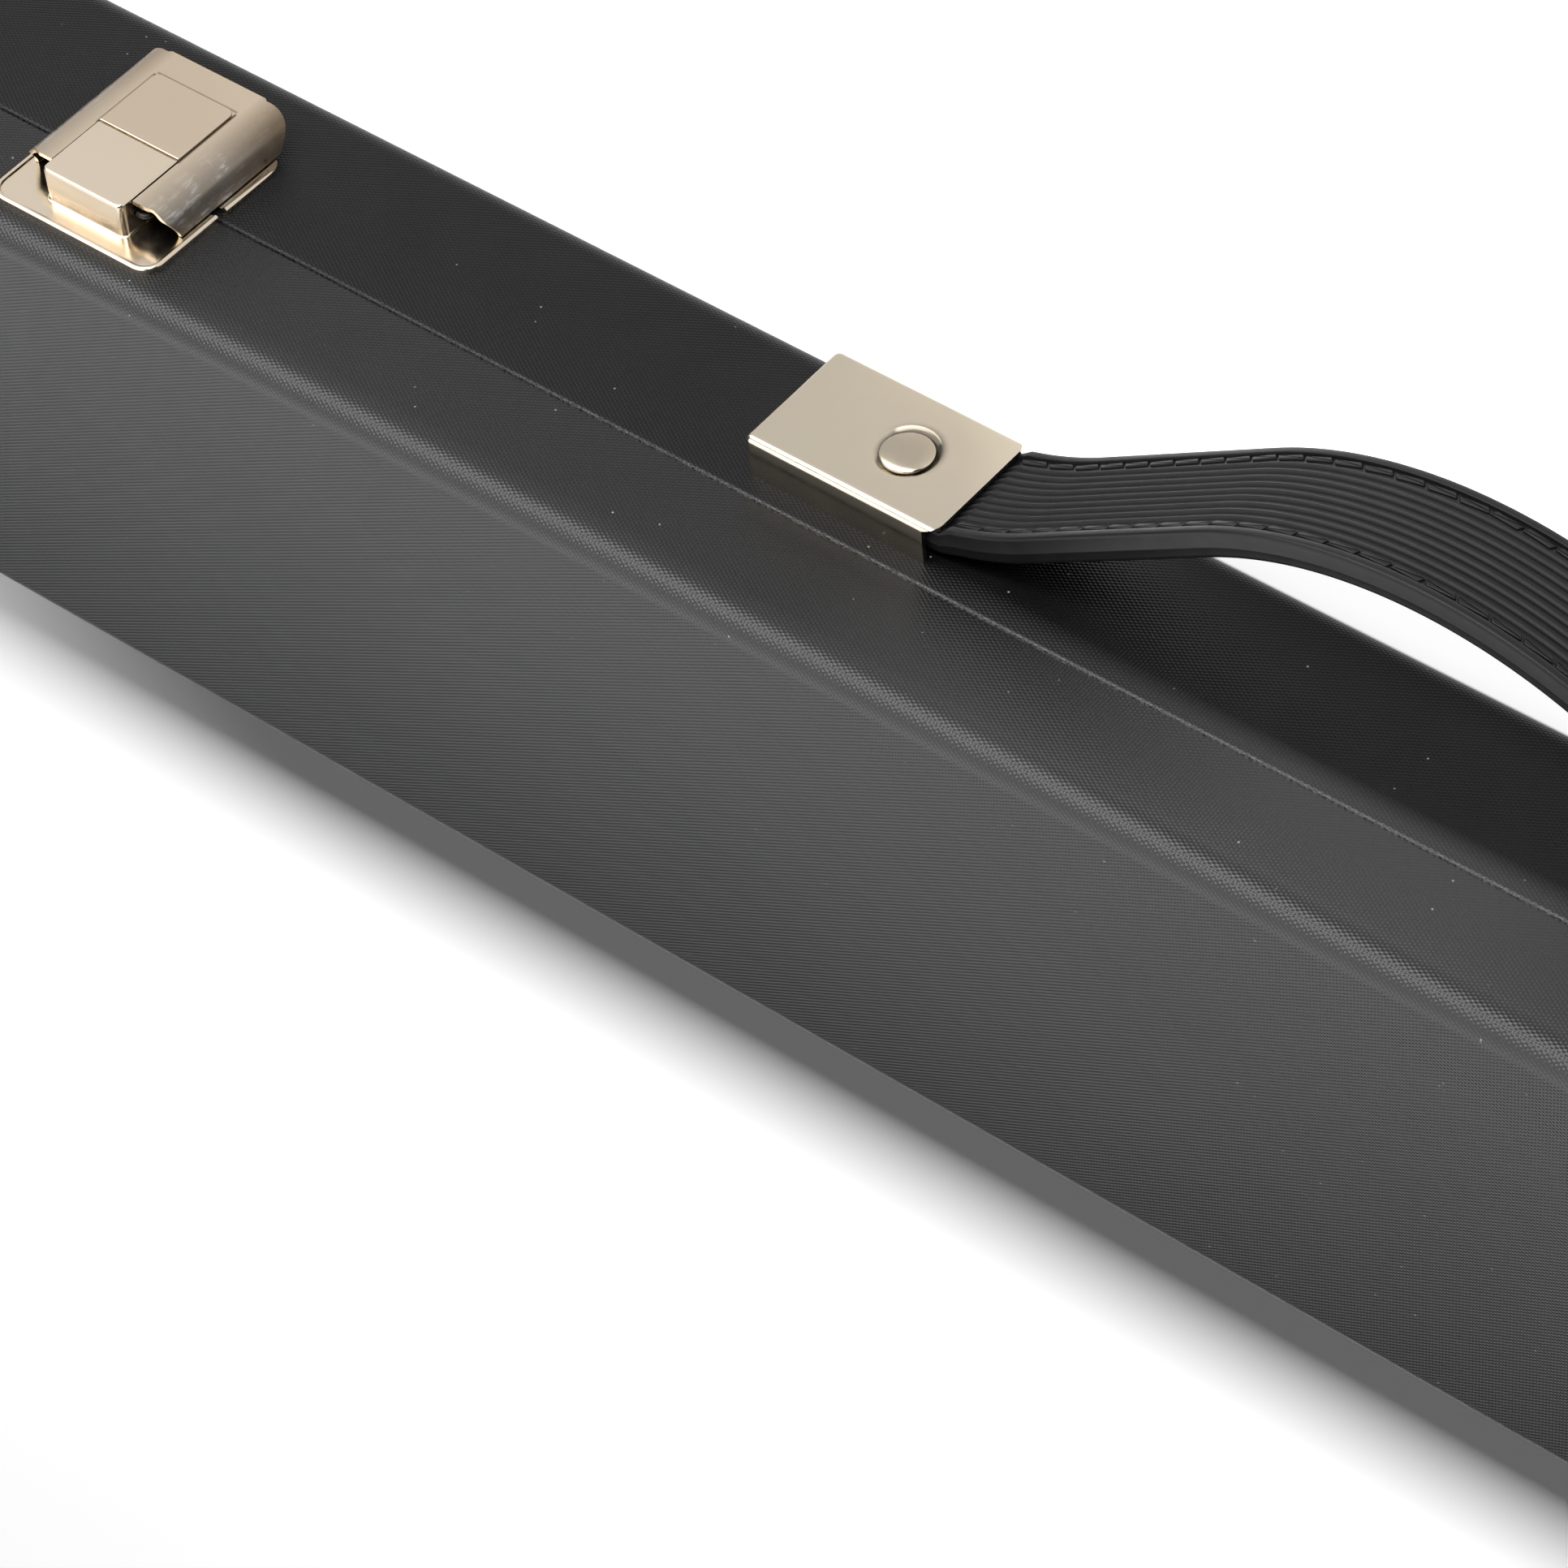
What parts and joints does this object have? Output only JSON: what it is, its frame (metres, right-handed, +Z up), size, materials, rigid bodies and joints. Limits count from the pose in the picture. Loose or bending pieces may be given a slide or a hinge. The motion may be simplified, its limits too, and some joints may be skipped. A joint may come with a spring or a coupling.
{
  "type": "cue case",
  "caption": "Hard hinged case for a two-piece cue, vinyl-covered, with a channelled lining, two lever latches and an arched strap handle on metal end caps.",
  "frame": {"origin": "middle of the underside, where the case lies on a table", "axes": "+X along the case, +Y from the handle side to the hinge side, +Z up through the lid"},
  "size_m": [0.85, 0.1547, 0.06],
  "materials": {
    "vinyl": "fine plain-weave embossed vinyl, satin",
    "nickel": "bright warm nickel plate with fine wear",
    "steel": "plated steel",
    "strap": "moulded ribbed soft plastic, satin black",
    "pine": "planed softwood",
    "board": "thin fibreboard",
    "velour": "short-pile velour over foam"
  },
  "bodies": {
    "base": {"base_bottom_panel": "board", "base_front_rail": "pine", "base_back_rail": "pine", "base_end_left": "pine", "base_end_right": "pine", "base_wrap": "vinyl", "base_patch_left": "vinyl", "base_patch_right": "vinyl", "cradle": "velour", "hinge_left_base_leaf": "nickel", "hinge_middle_base_leaf": "nickel", "hinge_right_base_leaf": "nickel", "hinge_left_pin": "steel", "hinge_middle_pin": "steel", "hinge_right_pin": "steel", "hinge_base_screws": "steel", "handle_cap_left": "nickel", "handle_cap_right": "nickel", "handle_rivets": "nickel", "handle_washers": "steel", "handle_span_left": "strap", "handle_span_right": "strap", "latch_catch_left": "nickel", "latch_catch_right": "nickel", "latch_base_rivets": "steel"},
    "lid": {"lid_top_panel": "board", "lid_front_rail": "pine", "lid_back_rail": "pine", "lid_end_left": "pine", "lid_end_right": "pine", "lid_wrap": "vinyl", "lid_patch_left": "vinyl", "lid_patch_right": "vinyl", "lid_pad": "velour", "hinge_left_lid_leaf": "nickel", "hinge_middle_lid_leaf": "nickel", "hinge_right_lid_leaf": "nickel", "hinge_lid_screws": "steel", "latch_plate_left": "nickel", "latch_plate_right": "nickel", "latch_pivot_left": "steel", "latch_pivot_right": "steel", "latch_lid_rivets": "steel"},
    "grip": {"handle_grip": "strap"},
    "lever_left": {"latch_lever_left": "nickel"},
    "lever_right": {"latch_lever_right": "nickel"},
    "bail_left": {"latch_bail_left": "steel"},
    "bail_right": {"latch_bail_right": "steel"}
  },
  "joints": [
    {"name": "lid_hinge", "type": "hinge", "parent": "base", "child": "lid", "pos_m": [0, 0.05135, 0.035], "axis": [-1, 0, 0], "range_deg": [0, 175]},
    {"name": "latch_left", "type": "hinge", "parent": "lid", "child": "lever_left", "pos_m": [-0.271, -0.0555, 0.0424], "axis": [-1, 0, 0], "range_deg": [0, 100]},
    {"name": "bail_left", "type": "hinge", "parent": "lever_left", "child": "bail_left", "pos_m": [-0.271, -0.0551, 0.04467], "axis": [-1, 0, 0], "range_deg": [-85, 0]},
    {"name": "latch_right", "type": "hinge", "parent": "lid", "child": "lever_right", "pos_m": [0.271, -0.0555, 0.0424], "axis": [-1, 0, 0], "range_deg": [0, 100]},
    {"name": "bail_right", "type": "hinge", "parent": "lever_right", "child": "bail_right", "pos_m": [0.271, -0.0551, 0.04467], "axis": [-1, 0, 0], "range_deg": [-85, 0]},
    {"name": "handle_slide", "type": "slide", "parent": "base", "child": "grip", "axis": [0, 1, 0], "range_m": [0, 0.018], "stiffness_N_per_m": 150, "deforming": ["handle_span_left", "handle_span_right"]}
  ],
  "couplings": [
    {"joint": "bail_left", "follows": "latch_left", "ratio": -0.85},
    {"joint": "bail_right", "follows": "latch_right", "ratio": -0.85}
  ]
}
